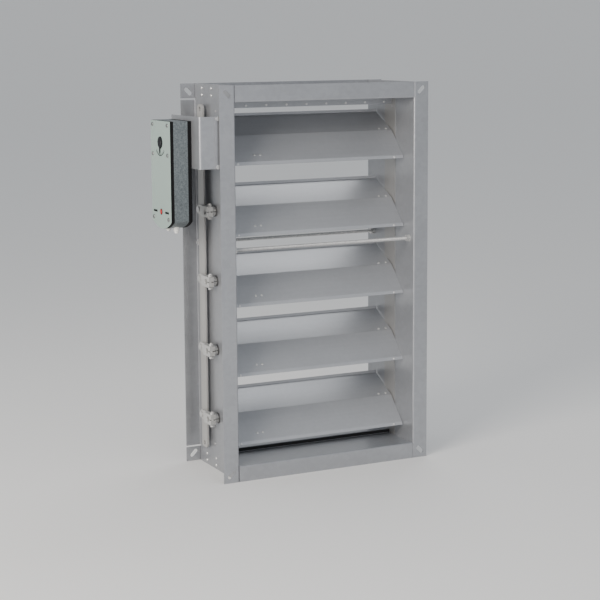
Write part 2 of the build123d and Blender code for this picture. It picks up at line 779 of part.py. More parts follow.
with BuildPart() as actuator_body:
    with BuildSketch(Plane.YZ.offset(body_back)):
        actuator_outline()
        actuator_outline(body_wall, Mode.SUBTRACT)
    extrude(amount=body_face - body_back)
    with BuildSketch(Plane.YZ.offset(body_back)):
        with Locations(*cover_screw_points):
            Circle(screw_boss)
        actuator_outline(mode=Mode.INTERSECT)
    extrude(amount=body_face - body_back)
    with BuildSketch(Plane.YZ.offset(body_face)):
        with Locations(*cover_screw_points):
            Circle(cover_screw_radius)
    extrude(amount=cover_screw_length - cover_sheet - gasket_thickness, mode=Mode.SUBTRACT)
    with BuildSketch(Plane.YZ.offset(body_back)):
        with Locations(*fixing_screw_points):
            Circle(bracket_screw_radius)
    fixing_depth = bracket_screw_grip - bracket_sheet - cover_sheet - gasket_thickness
    extrude(amount=-fixing_depth, mode=Mode.SUBTRACT)
    with BuildSketch(Plane.XY.offset(actuator_bottom)):
        with Locations((body_middle, -gland_spread), (body_middle, gland_spread)):
            Circle(gland_radius)
    extrude(amount=gland_inside, mode=Mode.SUBTRACT)
write(actuator_body.part, "actuator_body")

with BuildPart() as actuator_cover:
    with BuildSketch(Plane.YZ.offset(actuator_face)):
        actuator_outline()
        with Locations((0, top_axis)):
            Circle(output_hub_radius + output_hub_gap, mode=Mode.SUBTRACT)
        with Locations(*cover_screw_points):
            Circle(cover_screw_radius, mode=Mode.SUBTRACT)
    extrude(amount=cover_sheet)
write(actuator_cover.part, "actuator_cover")

with BuildPart() as actuator_back_plate:
    with BuildSketch(Plane.YZ.offset(actuator_back)):
        actuator_outline()
        with Locations((0, top_axis)):
            Circle(axle_radius + output_hub_gap, mode=Mode.SUBTRACT)
        with Locations(*fixing_screw_points):
            Circle(bracket_screw_radius, mode=Mode.SUBTRACT)
    extrude(amount=-cover_sheet)
write(actuator_back_plate.part, "actuator_back_plate")

with BuildPart() as actuator_gaskets:
    for face, out in ((body_face, -1), (body_back, 1)):
        with BuildSketch(Plane.YZ.offset(face)):
            actuator_outline(gasket_inset)
            actuator_outline(gasket_inset + gasket_width, Mode.SUBTRACT)
        extrude(amount=out * gasket_thickness)
write(actuator_gaskets.part, "actuator_gaskets")

with BuildPart() as cover_screws:
    with BuildSketch(Plane.YZ.offset(actuator_face)):
        with Locations(*cover_screw_points):
            Circle(cover_screw_head)
    extrude(amount=-cover_screw_head_height)
    with BuildSketch(Plane.YZ.offset(actuator_face)):
        with Locations(*cover_screw_points):
            Circle(cover_screw_radius)
    extrude(amount=cover_screw_length)
write(cover_screws.part, "cover_screws")

# The output hub is clamped on the top axle. Its drum carries the return spring's inner end.
with BuildPart() as output_hub:
    with BuildSketch(Plane.YZ.offset(output_end)):
        with Locations((0, top_axis)):
            Circle(output_hub_radius)
            Circle(axle_radius, mode=Mode.SUBTRACT)
    extrude(amount=body_back - output_end)
    with BuildSketch(Plane.YZ.offset(body_back - output_drum_inset)):
        with Locations((0, top_axis)):
            Circle(output_drum_radius)
            Circle(axle_radius, mode=Mode.SUBTRACT)
    extrude(amount=-output_drum_length)
write(output_hub.part, "output_hub")

inside_back = actuator_back - cover_sheet
with BuildPart() as spring_barrel:
    with BuildSketch(Plane.YZ.offset(inside_back)):
        with Locations((0, top_axis)):
            Circle(barrel_radius)
            Circle(output_drum_radius + barrel_gap, mode=Mode.SUBTRACT)
    extrude(amount=-barrel_length)
write(spring_barrel.part, "spring_barrel")

gearbox_top = top_axis - barrel_radius - gearbox_gap
with BuildPart() as gear_motor:
    with BuildSketch(Plane.YZ.offset(inside_back)):
        with Locations((0, gearbox_top - gearbox_height / 2)):
            RectangleRounded(gearbox_width, gearbox_height, actuator_top_round)
    extrude(amount=-gearbox_length)
    with BuildSketch(Plane.XY.offset(gearbox_top - gearbox_height)):
        with Locations((inside_back - gearbox_length / 2, 0)):
            Circle(motor_radius)
    extrude(amount=-motor_length)
write(gear_motor.part, "gear_motor")

with BuildPart() as cable_glands:
    gland_points = [(body_middle, -gland_spread), (body_middle, gland_spread)]
    with BuildSketch(Plane.XY.offset(actuator_bottom + gland_inside)):
        with Locations(*gland_points):
            Circle(gland_radius)
    extrude(amount=-gland_inside - gland_height)
    with BuildSketch(Plane.XY.offset(actuator_bottom - gland_height)):
        with Locations(*gland_points):
            Circle(gland_nose_radius)
    extrude(amount=-gland_nose_height)
write(cable_glands.part, "cable_glands")

# Bracket: a plate behind the actuator with a web at the front, lapped on a foot that is screwed to the
# left jamb
with BuildPart() as actuator_bracket:
    with BuildSketch(Plane.XY.offset(bracket_bottom)):
        with BuildLine():
            FilletPolyline(
                (actuator_back, bracket_rear),
                (actuator_back, bracket_web),
                (-bracket_lap_end, bracket_web),
                radius=bracket_bend + bracket_sheet,
            )
            offset(amount=bracket_sheet, side=Side.LEFT)
        make_face()
    extrude(amount=bracket_top - bracket_bottom)
    with BuildSketch(Plane.YZ.offset(actuator_back)):
        with Locations((0, top_axis)):
            Circle(bracket_hole)
        with Locations(*fixing_screw_points):
            Circle(bracket_screw_radius)
    extrude(amount=bracket_sheet, mode=Mode.SUBTRACT)
    with BuildSketch(Plane.XZ.offset(-bracket_web)):
        with Locations(*lap_screw_points):
            Circle(bracket_screw_radius)
    extrude(amount=-bracket_sheet, mode=Mode.SUBTRACT)
write(actuator_bracket.part, "actuator_bracket")

with BuildPart() as bracket_foot:
    with BuildSketch(Plane.XY.offset(bracket_bottom)):
        with BuildLine():
            FilletPolyline(
                (-foot_edge, foot_front),
                (-jamb_outer, foot_front),
                (-jamb_outer, foot_wall_end),
                radius=bracket_bend + bracket_sheet,
            )
            offset(amount=bracket_sheet, side=Side.LEFT)
        make_face()
    extrude(amount=bracket_top - bracket_bottom)
    with BuildSketch(Plane.XZ.offset(-foot_front)):
        with Locations(*lap_screw_points):
            Circle(bracket_screw_radius)
    extrude(amount=-bracket_sheet, mode=Mode.SUBTRACT)
    with BuildSketch(Plane.YZ.offset(-jamb_outer)):
        with Locations(*wall_screw_points):
            Circle(bracket_screw_radius)
    extrude(amount=-bracket_sheet, mode=Mode.SUBTRACT)
write(bracket_foot.part, "bracket_foot")

with BuildPart() as bracket_screws:
    lap_face = Plane.XZ.offset(-foot_front)
    wall_face = Plane.YZ.offset(-jamb_outer - bracket_sheet)
    plate_face = Plane.YZ.offset(actuator_back + bracket_sheet)
    wall_grip = bracket_sheet + casing_sheet + wall_screw_tail
    for face, points, out, grip in (
        (lap_face, lap_screw_points, 1, 2 * bracket_sheet),
        (wall_face, wall_screw_points, -1, wall_grip),
        (plate_face, fixing_screw_points, 1, bracket_screw_grip),
    ):
        with BuildSketch(face):
            with Locations(*points):
                Circle(bracket_screw_head)
        extrude(amount=out * bracket_screw_head_height)
        with BuildSketch(face):
            with Locations(*points):
                Circle(bracket_screw_radius)
        extrude(amount=-out * grip)
    with BuildSketch(Plane.XZ.offset(-bracket_web - bracket_sheet)):
        with Locations(*lap_screw_points):
            RegularPolygon(bracket_nut_across / 2, hex_sides, major_radius=False)
    extrude(amount=-bracket_nut_height)
write(bracket_screws.part, "bracket_screws")
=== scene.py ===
import json
from math import cos, radians, sin, tau
import bpy
from mathutils import Matrix, Vector

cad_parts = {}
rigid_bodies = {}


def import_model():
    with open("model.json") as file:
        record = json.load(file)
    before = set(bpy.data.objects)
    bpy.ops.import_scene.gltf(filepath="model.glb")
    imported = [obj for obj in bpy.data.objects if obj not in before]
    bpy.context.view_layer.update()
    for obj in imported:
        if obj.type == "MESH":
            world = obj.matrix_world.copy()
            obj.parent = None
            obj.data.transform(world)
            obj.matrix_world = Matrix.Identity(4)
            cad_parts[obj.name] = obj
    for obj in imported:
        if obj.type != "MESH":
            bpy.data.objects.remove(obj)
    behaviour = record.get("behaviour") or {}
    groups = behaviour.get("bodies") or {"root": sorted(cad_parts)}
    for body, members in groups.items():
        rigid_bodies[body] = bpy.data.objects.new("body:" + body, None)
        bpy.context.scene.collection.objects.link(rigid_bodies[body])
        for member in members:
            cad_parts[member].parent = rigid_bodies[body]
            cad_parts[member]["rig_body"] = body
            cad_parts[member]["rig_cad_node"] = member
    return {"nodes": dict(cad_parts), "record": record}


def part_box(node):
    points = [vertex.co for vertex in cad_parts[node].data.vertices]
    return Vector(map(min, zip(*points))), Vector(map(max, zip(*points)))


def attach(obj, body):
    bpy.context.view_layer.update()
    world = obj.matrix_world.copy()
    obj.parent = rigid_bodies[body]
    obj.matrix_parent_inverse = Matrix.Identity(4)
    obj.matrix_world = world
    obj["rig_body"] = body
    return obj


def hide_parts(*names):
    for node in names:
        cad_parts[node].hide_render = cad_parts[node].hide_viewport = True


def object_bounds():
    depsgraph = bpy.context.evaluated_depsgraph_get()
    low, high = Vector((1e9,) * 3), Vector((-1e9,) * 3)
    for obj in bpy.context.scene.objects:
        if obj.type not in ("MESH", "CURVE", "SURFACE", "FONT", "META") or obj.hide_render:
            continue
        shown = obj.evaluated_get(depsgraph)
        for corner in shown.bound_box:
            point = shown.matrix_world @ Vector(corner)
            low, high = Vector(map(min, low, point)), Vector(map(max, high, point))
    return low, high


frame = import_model()
nodes = frame["nodes"]
cadBox = [list(corner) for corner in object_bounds()]
mm = 0.001
mergeGap = 0.01 * mm  # points closer than this are one point
cadMergeGap = 0.002 * mm  # the same for the loose triangles of a CAD node
print("frame loaded,", len(nodes), "nodes")


# Small helpers for working by hand

def selectOnly(*pieces):
    bpy.ops.object.select_all(action="DESELECT")
    for piece in pieces:
        piece.select_set(True)
    bpy.context.view_layer.objects.active = pieces[0]


def applyModifier(piece, kind, **settings):
    selectOnly(piece)
    bpy.ops.object.modifier_add(type=kind)
    modifier = piece.modifiers[-1]
    for name, value in settings.items():
        setattr(modifier, name, value)
    bpy.ops.object.modifier_apply(modifier=modifier.name)


def cutWith(piece, cutter, operation="DIFFERENCE"):
    applyModifier(piece, "BOOLEAN", object=cutter, operation=operation, solver="EXACT")
    bpy.ops.object.mode_set(mode="EDIT")
    bpy.ops.mesh.select_all(action="SELECT")
    bpy.ops.mesh.remove_doubles(threshold=mergeGap)
    bpy.ops.object.mode_set(mode="OBJECT")
    selectOnly(cutter)
    bpy.ops.object.delete()


def settle(piece):
    selectOnly(piece)
    bpy.ops.object.transform_apply(location=True, rotation=True, scale=True)


def selectIn(piece, kind, wanted):
    # leaves edit mode in that kind of select, with the faces or edges that the test wants
    bpy.ops.object.mode_set(mode="EDIT")
    bpy.ops.mesh.select_mode(type=kind)
    bpy.ops.mesh.select_all(action="DESELECT")
    bpy.ops.object.mode_set(mode="OBJECT")
    for element in piece.data.polygons if kind == "FACE" else piece.data.edges:
        element.select = wanted(element)
    bpy.ops.object.mode_set(mode="EDIT")


def endsOf(piece, edge):
    return [piece.data.vertices[i].co for i in edge.vertices]


def runsAlongX(piece, edge):
    start, end = endsOf(piece, edge)
    return abs(start.x - end.x) > 0.5 * (start - end).length


def facing(side):
    # a test for faces that look along X, to -X for side -1 and to +X for side 1
    return lambda face: face.normal.x * side > 0.9


def roundAlongX(vertices, radius, length, centre=(0, 0, 0)):
    bpy.ops.object.select_all(action="DESELECT")
    bpy.ops.mesh.primitive_cylinder_add(vertices=vertices, radius=radius, depth=length, location=centre,
                                        rotation=(0, radians(90), 0))
    piece = bpy.context.active_object
    settle(piece)
    return piece


def blockAt(centre, sizes, turn=0.0):
    bpy.ops.object.select_all(action="DESELECT")
    bpy.ops.mesh.primitive_cube_add(size=1, location=centre, rotation=(turn, 0, 0))
    piece = bpy.context.active_object
    piece.scale = sizes
    settle(piece)
    return piece


def roundedHead(vertices, radius, height, centre, rounding, segments):
    # a short round piece along X, rounded over on its outer end
    piece = roundAlongX(vertices, radius, height, centre)
    selectIn(piece, "FACE", facing(-1))
    bpy.ops.mesh.bevel(offset=rounding, segments=segments, affect="EDGES")
    bpy.ops.object.mode_set(mode="OBJECT")
    return piece


def bevelSharp(piece, widthMm):
    applyModifier(piece, "BEVEL", width=widthMm * mm, segments=2, limit_method="ANGLE", angle_limit=radians(40))


def copiesAt(piece, places):
    # one copy with its own mesh at each place, joined into one piece
    copies = []
    for place in places:
        selectOnly(piece)
        bpy.ops.object.duplicate()
        twin = bpy.context.active_object
        twin.location = Vector(place)
        settle(twin)
        copies.append(twin)
    selectOnly(piece)
    bpy.ops.object.delete()
    selectOnly(*copies)
    if len(copies) > 1:
        bpy.ops.object.join()
    return bpy.context.active_object


def finishPiece(piece, name, material, body, slotName, *replaced, smoothAngle=32):
    settle(piece)
    bpy.ops.object.shade_smooth_by_angle(angle=radians(smoothAngle))
    # flats stay flat beside their round edges
    applyModifier(piece, "WEIGHTED_NORMAL", keep_sharp=True, weight=90)
    piece.name = name
    piece.data.name = name
    piece.data.materials.clear()
    piece.data.materials.append(material)
    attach(piece, body)
    if replaced:
        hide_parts(*replaced)
    return piece


# Materials

def linearColour(hexColour):
    channels = [int(hexColour[i:i + 2], 16) / 255 for i in (1, 3, 5)]
    return tuple(c / 12.92 if c <= 0.04045 else ((c + 0.055) / 1.055) ** 2.4 for c in channels) + (1.0,)


def addNode(material, kind, inputs, **settings):
    # a socket among the inputs is linked, any other value is set
    node = material.node_tree.nodes.new(kind)
    for name, value in settings.items():
        setattr(node, name, value)
    for socket, value in inputs.items():
        if isinstance(value, bpy.types.NodeSocket):
            material.node_tree.links.new(value, node.inputs[socket])
        else:
            node.inputs[socket].default_value = value
    return node


def startMaterial(name):
    material = bpy.data.materials.new(name)
    material.use_nodes = True
    shader = material.node_tree.nodes["Principled BSDF"]
    place = addNode(material, "ShaderNodeTexCoord", {}).outputs["Object"]
    return material, shader, place


def perMetre(sizeMm):
    return 1000.0 / sizeMm  # texture scale for a pattern of that size on Object coordinates in metres


def join(material, socket, shaderInput):
    material.node_tree.links.new(socket, shaderInput)


def sheetMetal(name, look):
    # zinc-coated sheet: faint spangle cells, slow clouding, and fine streaks along the rolling direction
    material, shader, place = startMaterial(name)
    spangle = addNode(material, "ShaderNodeTexVoronoi", {
        "Vector": place, "Scale": perMetre(look["spangleMm"]), "Randomness": 1.0})
    cell = addNode(material, "ShaderNodeSeparateColor", {"Color": spangle.outputs["Color"]})
    cloud = addNode(material, "ShaderNodeTexNoise", {
        "Vector": place, "Scale": perMetre(look["cloudMm"]), "Detail": 3.0, "Roughness": 0.5})
    stretched = addNode(material, "ShaderNodeMapping", {
        "Vector": place, "Scale": tuple(perMetre(size) for size in look["streakMm"])})
    streak = addNode(material, "ShaderNodeTexNoise", {
        "Vector": stretched.outputs["Vector"], "Scale": 1.0, "Detail": 4.0, "Roughness": 0.6})
    cells = addNode(material, "ShaderNodeMath", {
        0: cell.outputs["Red"], 1: look["spangle"]}, operation="MULTIPLY")
    clouds = addNode(material, "ShaderNodeMath", {
        0: cloud.outputs["Fac"], 1: look["cloud"], 2: cells.outputs[0]}, operation="MULTIPLY_ADD")
    mixed = addNode(material, "ShaderNodeMath", {
        0: streak.outputs["Fac"], 1: look["streak"], 2: clouds.outputs[0]}, operation="MULTIPLY_ADD")
    tone = addNode(material, "ShaderNodeMix", {
        "Factor": mixed.outputs[0], "A": linearColour(look["dark"]), "B": linearColour(look["light"])},
        data_type="RGBA")
    gloss = addNode(material, "ShaderNodeMapRange", {
        "Value": mixed.outputs[0], "To Min": look["rough"][0], "To Max": look["rough"][1]})
    relief = addNode(material, "ShaderNodeBump", {
        "Height": mixed.outputs[0], "Strength": look["relief"], "Distance": look["reliefMm"] * mm})
    join(material, tone.outputs["Result"], shader.inputs["Base Color"])
    join(material, gloss.outputs["Result"], shader.inputs["Roughness"])
    join(material, relief.outputs["Normal"], shader.inputs["Normal"])
    shader.inputs["Metallic"].default_value = look["metallic"]
    return material


def grainyMaterial(name, look):
    # one colour with a fine grain in tone, gloss and relief: cast, moulded, sintered or coated surfaces
    material, shader, place = startMaterial(name)
    grain = addNode(material, "ShaderNodeTexNoise", {
        "Vector": place, "Scale": perMetre(look["grainMm"]), "Detail": 2.0, "Roughness": 0.6})
    blotch = addNode(material, "ShaderNodeTexNoise", {
        "Vector": place, "Scale": perMetre(look["blotchMm"]), "Detail": 2.0, "Roughness": 0.5})
    mixed = addNode(material, "ShaderNodeMix", {
        "Factor": look["blotch"], "A": grain.outputs["Fac"], "B": blotch.outputs["Fac"]}, data_type="FLOAT")
    tone = addNode(material, "ShaderNodeMix", {
        "Factor": mixed.outputs["Result"], "A": linearColour(look["dark"]), "B": linearColour(look["light"])},
        data_type="RGBA")
    gloss = addNode(material, "ShaderNodeMapRange", {
        "Value": mixed.outputs["Result"], "To Min": look["rough"][0], "To Max": look["rough"][1]})
    relief = addNode(material, "ShaderNodeBump", {
        "Height": grain.outputs["Fac"], "Strength": look["relief"], "Distance": look["reliefMm"] * mm})
    join(material, tone.outputs["Result"], shader.inputs["Base Color"])
    join(material, gloss.outputs["Result"], shader.inputs["Roughness"])
    join(material, relief.outputs["Normal"], shader.inputs["Normal"])
    shader.inputs["Metallic"].default_value = look["metallic"]
    shader.inputs["Specular IOR Level"].default_value = look.get("specular", 0.5)
    return material


# hot-dip galvanised sheet: matt blue-grey, the spangle only just visible
galvanisedSheet = sheetMetal("galvanisedSheet", {
    "dark": "#94969a", "light": "#abadb1", "spangleMm": 9, "spangle": 0.22, "cloudMm": 130, "cloud": 0.55,
    "streakMm": (60, 60, 4), "streak": 0.2, "rough": (0.28, 0.37), "relief": 0.05, "reliefMm": 0.1,
    "metallic": 0.6})
# the blades' sheet is skin-passed after coating: smoother, with streaks along the blade
bladeSheet = sheetMetal("skinPassedZincSheet", {
    "dark": "#a0a2a6", "light": "#b9bbbe", "spangleMm": 7, "spangle": 0.1, "cloudMm": 160, "cloud": 0.55,
    "streakMm": (220, 7, 7), "streak": 0.35, "rough": (0.34, 0.43), "relief": 0.06, "reliefMm": 0.15,
    "metallic": 0.55})
# cold-rolled spring strip: brighter, with fine upright rolling lines
springStrip = sheetMetal("rolledSpringSteel", {
    "dark": "#929292", "light": "#adacab", "spangleMm": 20, "spangle": 0.05, "cloudMm": 200, "cloud": 0.4,
    "streakMm": (3, 3, 160), "streak": 0.55, "rough": (0.3, 0.4), "relief": 0.05, "reliefMm": 0.1,
    "metallic": 0.55})
# drawn flat bar, zinc-plated: slightly warm, streaked along its length
flatBar = sheetMetal("zincPlatedFlatBar", {
    "dark": "#a2a19f", "light": "#c2c1be", "spangleMm": 20, "spangle": 0.05, "cloudMm": 90, "cloud": 0.4,
    "streakMm": (3, 3, 120), "streak": 0.55, "rough": (0.36, 0.48), "relief": 0.08, "reliefMm": 0.15,
    "metallic": 0.5})
# clear-passivated zinc plating on fasteners: bright, a little blue and yellow
zincPlating = grainyMaterial("zincPlating", {
    "dark": "#bababa", "light": "#e0e0de", "grainMm": 2.5, "blotchMm": 9, "blotch": 0.5, "rough": (0.24, 0.38),
    "relief": 0.05, "reliefMm": 0.05, "metallic": 0.75})
# zinc on a rolled thread: its flecks are painted glints for the bright crests and painted shade for the grey
# roots. The real pitch is too fine to show, so the flecks are 3 mm
threadWithPaintedGlints = grainyMaterial("zincThreadWithPaintedGlints", {
    "dark": "#a8a8aa", "light": "#efefed", "grainMm": 3.0, "blotchMm": 12, "blotch": 0.2, "rough": (0.26, 0.36),
    "relief": 0.05, "reliefMm": 0.05, "metallic": 0.7})
# turned steel shaft, bright with a soft sheen
turnedSteel = grainyMaterial("turnedSteel", {
    "dark": "#8e8e8e", "light": "#b4b4b3", "grainMm": 1.5, "blotchMm": 14, "blotch": 0.5, "rough": (0.28, 0.4),
    "relief": 0.06, "reliefMm": 0.05, "metallic": 1.0})
# oil-soaked sintered steel bush: dark grey, dull and porous
sinteredSteel = grainyMaterial("sinteredSteel", {
    "dark": "#6b6b6c", "light": "#8e8e8f", "grainMm": 0.9, "blotchMm": 6, "blotch": 0.3, "rough": (0.5, 0.62),
    "relief": 0.2, "reliefMm": 0.1, "metallic": 1.0})
# shot-blasted zinc die casting: pale grey with a fine, slightly dull grain
castZinc = grainyMaterial("shotBlastedZincCasting", {
    "dark": "#aaaaa9", "light": "#d0d0ce", "grainMm": 1.6, "blotchMm": 12, "blotch": 0.4, "rough": (0.42, 0.56),
    "relief": 0.25, "reliefMm": 0.2, "metallic": 0.5})
# fire seal strip that swells with heat: black, matt and fibrous
sealStrip = grainyMaterial("graphiteSealStrip", {
    "dark": "#0f0f10", "light": "#262628", "grainMm": 1.2, "blotchMm": 10, "blotch": 0.3, "rough": (0.75, 0.9),
    "relief": 0.35, "reliefMm": 0.2, "metallic": 0.0})
# moulded nitrile gasket: black with a low sheen
nitrile = grainyMaterial("nitrileGasket", {
    "dark": "#040405", "light": "#0c0c0e", "grainMm": 1.0, "blotchMm": 15, "blotch": 0.4, "rough": (0.6, 0.75),
    "relief": 0.1, "reliefMm": 0.08, "metallic": 0.0, "specular": 0.2})
# powder-coated cover: pale green-grey, satin, with a slight orange peel
powderCoat = grainyMaterial("powderCoatedSteel", {
    "dark": "#8a9b95", "light": "#9baba5", "grainMm": 2.2, "blotchMm": 60, "blotch": 0.5, "rough": (0.42, 0.52),
    "relief": 0.12, "reliefMm": 0.12, "metallic": 0.0})
# spark-eroded die casting of the housing: grey with a coarse grain, its light and dark specks partly the real
# grain and partly painted glitter
castingWithPaintedGlitter = grainyMaterial("sparkErodedCastingPaintedGlitter", {
    "dark": "#1a1f21", "light": "#8b9497", "grainMm": 2.6, "blotchMm": 70, "blotch": 0.1, "rough": (0.34, 0.56),
    "relief": 0.6, "reliefMm": 0.5, "metallic": 0.45})
# moulded polyamide gland: off-white, softly shiny
glandNylon = grainyMaterial("mouldedPolyamide", {
    "dark": "#cfcfca", "light": "#e2e2de", "grainMm": 1.5, "blotchMm": 12, "blotch": 0.4, "rough": (0.38, 0.48),
    "relief": 0.06, "reliefMm": 0.05, "metallic": 0.0})
# black-oxide steel hub: near black with a dull metallic sheen
blackOxide = grainyMaterial("blackOxideSteel", {
    "dark": "#1a1b1d", "light": "#313337", "grainMm": 1.2, "blotchMm": 8, "blotch": 0.4, "rough": (0.38, 0.52),
    "relief": 0.08, "reliefMm": 0.06, "metallic": 0.8})
# red acetal push button, smooth and slightly waxy
redAcetal = grainyMaterial("redAcetal", {
    "dark": "#a31618", "light": "#c02422", "grainMm": 1.5, "blotchMm": 8, "blotch": 0.5, "rough": (0.3, 0.4),
    "relief": 0.04, "reliefMm": 0.04, "metallic": 0.0})
print("materials made")

slotFinish = {
    "galvanised": galvanisedSheet, "blade_sheet": bladeSheet, "spring_steel": springStrip,
    "seal_strip": sealStrip, "zinc_fastener": zincPlating, "axle_steel": turnedSteel, "bush": sinteredSteel,
    # the actuator case's finish has painted glitter in its grain
    "cast_crank": castZinc, "bar_steel": flatBar, "actuator_case": castingWithPaintedGlitter, "actuator_cover": powderCoat,
    "gasket": nitrile, "gland": glandNylon, "hub": blackOxide, "inner_works": turnedSteel}
nodeSlot = {part["node"]: part["material_slot"] for part in frame["record"]["subparts"]}
nodeFinish = {name: slotFinish[slotName] for name, slotName in nodeSlot.items()}


# Edges that a cutter or a die leaves slightly round, on copies of the CAD pieces

def softened(nodeName, widthMm, segments=2, angle=35, clamped=True):
    selectOnly(nodes[nodeName])
    bpy.ops.object.duplicate()
    piece = bpy.context.active_object
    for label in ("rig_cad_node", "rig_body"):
        del piece[label]
    piece.parent = None
    bpy.ops.object.mode_set(mode="EDIT")
    bpy.ops.mesh.select_all(action="SELECT")
    bpy.ops.mesh.remove_doubles(threshold=cadMergeGap)
    bpy.ops.mesh.dissolve_limited(angle_limit=radians(1))
    bpy.ops.object.mode_set(mode="OBJECT")
    applyModifier(piece, "BEVEL", width=widthMm * mm, segments=segments, limit_method="ANGLE",
                  angle_limit=radians(angle), use_clamp_overlap=clamped)
    return piece


softEdges = {  # width in millimetres, segments
    "corner_rivets": (0.8, 3), "stop_rivets": (0.5, 3), "seal_rivets": (0.5, 3), "tie_rod_washers": (0.25, 2),
    "link_pins": (0.5, 2), "link_bar": (0.4, 2), "bracket_screws": (0.6, 2), "axle_bushes": (0.3, 2),
    "actuator_body": (1.0, 3), "actuator_cover": (0.6, 2), "actuator_back_plate": (0.6, 2),
    "output_hub": (0.5, 2), "cable_glands": (0.9, 3)}
for number in range(1, 6):
    softEdges["crank_%d" % number] = (0.6, 3)
    softEdges["clamp_bolt_%d" % number] = (0.5, 2)
    softEdges["blade_rivets_%d" % number] = (0.5, 2)
    softEdges["left_axle_%d" % number] = (0.4, 2)
    softEdges["right_axle_%d" % number] = (0.4, 2)
bodyOf = {name: body for body, names in frame["record"]["behaviour"]["bodies"].items() for name in names}
# one short edge would hold these back all over, so their widths are small enough to go without the clamp
freeEdges = ("crank", "link_bar", "actuator", "left_axle", "right_axle")
for nodeName, (widthMm, segments) in softEdges.items():
    piece = softened(nodeName, widthMm, segments, clamped=not nodeName.startswith(freeEdges))
    finishPiece(piece, nodeName + "_soft", nodeFinish[nodeName], bodyOf[nodeName], nodeSlot[nodeName], nodeName)

# the soft gaskets swell a little past the rims that squeeze them
gasketShape = {"edgeMm": 0.3, "swellMm": 0.95}
gaskets = softened("actuator_gaskets", gasketShape["edgeMm"])
applyModifier(gaskets, "DISPLACE", strength=gasketShape["swellMm"] * mm, mid_level=0.0)
finishPiece(gaskets, "actuator_gaskets_soft", nitrile, "casing", "gasket", "actuator_gaskets")
print("softened pieces made:", len(softEdges) + 1)


# Tie rods with a rolled M8 thread, two rods at one height

rodShape = {"radiusMm": 4.0, "rootMm": 3.3, "pitchMm": 1.25, "crest": (0.42, 0.58), "steps": 12, "tipMm": 1.2,
            "coreSides": 24}
rodLow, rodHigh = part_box("tie_rods")
rodLevel = (rodLow.z + rodHigh.z) / 2
rodDepths = (rodLow.y + rodShape["radiusMm"] * mm, rodHigh.y - rodShape["radiusMm"] * mm)
rodLength = rodHigh.x - rodLow.x
pitch = rodShape["pitchMm"] * mm
turns = int((rodLength - 2 * rodShape["tipMm"] * mm) / pitch)
bpy.ops.object.select_all(action="DESELECT")
bpy.ops.mesh.primitive_circle_add(vertices=4, radius=pitch, fill_type="NOTHING")
tieRods = bpy.context.active_object
selectIn(tieRods, "EDGE", lambda edge: set(edge.vertices) == {0, 3})
bpy.ops.mesh.delete(type="EDGE")
bpy.ops.object.mode_set(mode="OBJECT")
profile = ((0, "rootMm"), (rodShape["crest"][0], "radiusMm"), (rodShape["crest"][1], "radiusMm"), (1, "rootMm"))
for vertex, (share, size) in zip(tieRods.data.vertices, profile):
    vertex.co = ((share - turns / 2) * pitch, 0, rodShape[size] * mm)
applyModifier(tieRods, "SCREW", axis="X", angle=tau, screw_offset=pitch, iterations=turns,
              steps=rodShape["steps"], render_steps=rodShape["steps"])
bpy.ops.object.mode_set(mode="EDIT")
bpy.ops.mesh.select_all(action="SELECT")
bpy.ops.mesh.remove_doubles(threshold=mergeGap)
bpy.ops.mesh.fill_holes(sides=0)  # closes the thread's two ends, inside the core
bpy.ops.mesh.select_all(action="SELECT")
bpy.ops.mesh.normals_make_consistent(inside=False)
bpy.ops.object.mode_set(mode="OBJECT")
rodCore = roundAlongX(rodShape["coreSides"], rodShape["rootMm"] * mm, rodLength)
selectIn(rodCore, "FACE", lambda face: abs(face.normal.x) > 0.9)
bpy.ops.mesh.bevel(offset=rodShape["tipMm"] * mm / 2, segments=2, affect="EDGES")
bpy.ops.object.mode_set(mode="OBJECT")
selectOnly(tieRods, rodCore)
bpy.ops.object.join()
tieRods = copiesAt(tieRods, [(0, depth, rodLevel) for depth in rodDepths])
# the rods' thread material carries painted glints and painted shade in its flecks
finishPiece(tieRods, "threadedTieRods", threadWithPaintedGlints, "casing", "zinc_fastener", "tie_rods", smoothAngle=25)
print("tie rods made")


# Hexagon nuts on both faces of each jamb, their corners turned off at the ends

nutShape = {"acrossMm": 13.0, "heightMm": 6.5, "turnedMm": 0.8, "blankMm": 7.7, "endMm": 5.95, "boreMm": 4.0,
            "placesMm": (-219.35, -207.65, 207.65, 219.35), "pastMm": 0.1, "blankSides": 48, "boreSides": 32}
nutHeight = nutShape["heightMm"] * mm
turned = nutShape["turnedMm"] * mm
past = nutShape["pastMm"] * mm  # the blank runs on past the nut, so no two faces lie on each other
nut = roundAlongX(6, nutShape["acrossMm"] * mm / 2 / cos(radians(30)), nutHeight)
blank = roundAlongX(nutShape["blankSides"], nutShape["blankMm"] * mm, nutHeight - 2 * turned)
narrow = nutShape["endMm"] / nutShape["blankMm"]
for side in (-1, 1):
    selectIn(blank, "FACE", facing(side))
    bpy.ops.mesh.extrude_region_move(TRANSFORM_OT_translate={"value": (side * (turned + past), 0, 0)})
    bpy.ops.transform.resize(value=(1, narrow, narrow), center_override=(side * (nutHeight / 2 + past), 0, 0))
    bpy.ops.object.mode_set(mode="OBJECT")
cutWith(nut, blank, "INTERSECT")
cutWith(nut, roundAlongX(nutShape["boreSides"], nutShape["boreMm"] * mm, 2 * nutHeight))
nutPlaces = [(place * mm, depth, rodLevel) for place in nutShape["placesMm"] for depth in rodDepths]
nuts = copiesAt(nut, nutPlaces)
finishPiece(nuts, "hexagonNuts", zincPlating, "casing", "zinc_fastener", "tie_rod_nuts")
print("nuts made")


# Cover screws: domed heads with a cross recess

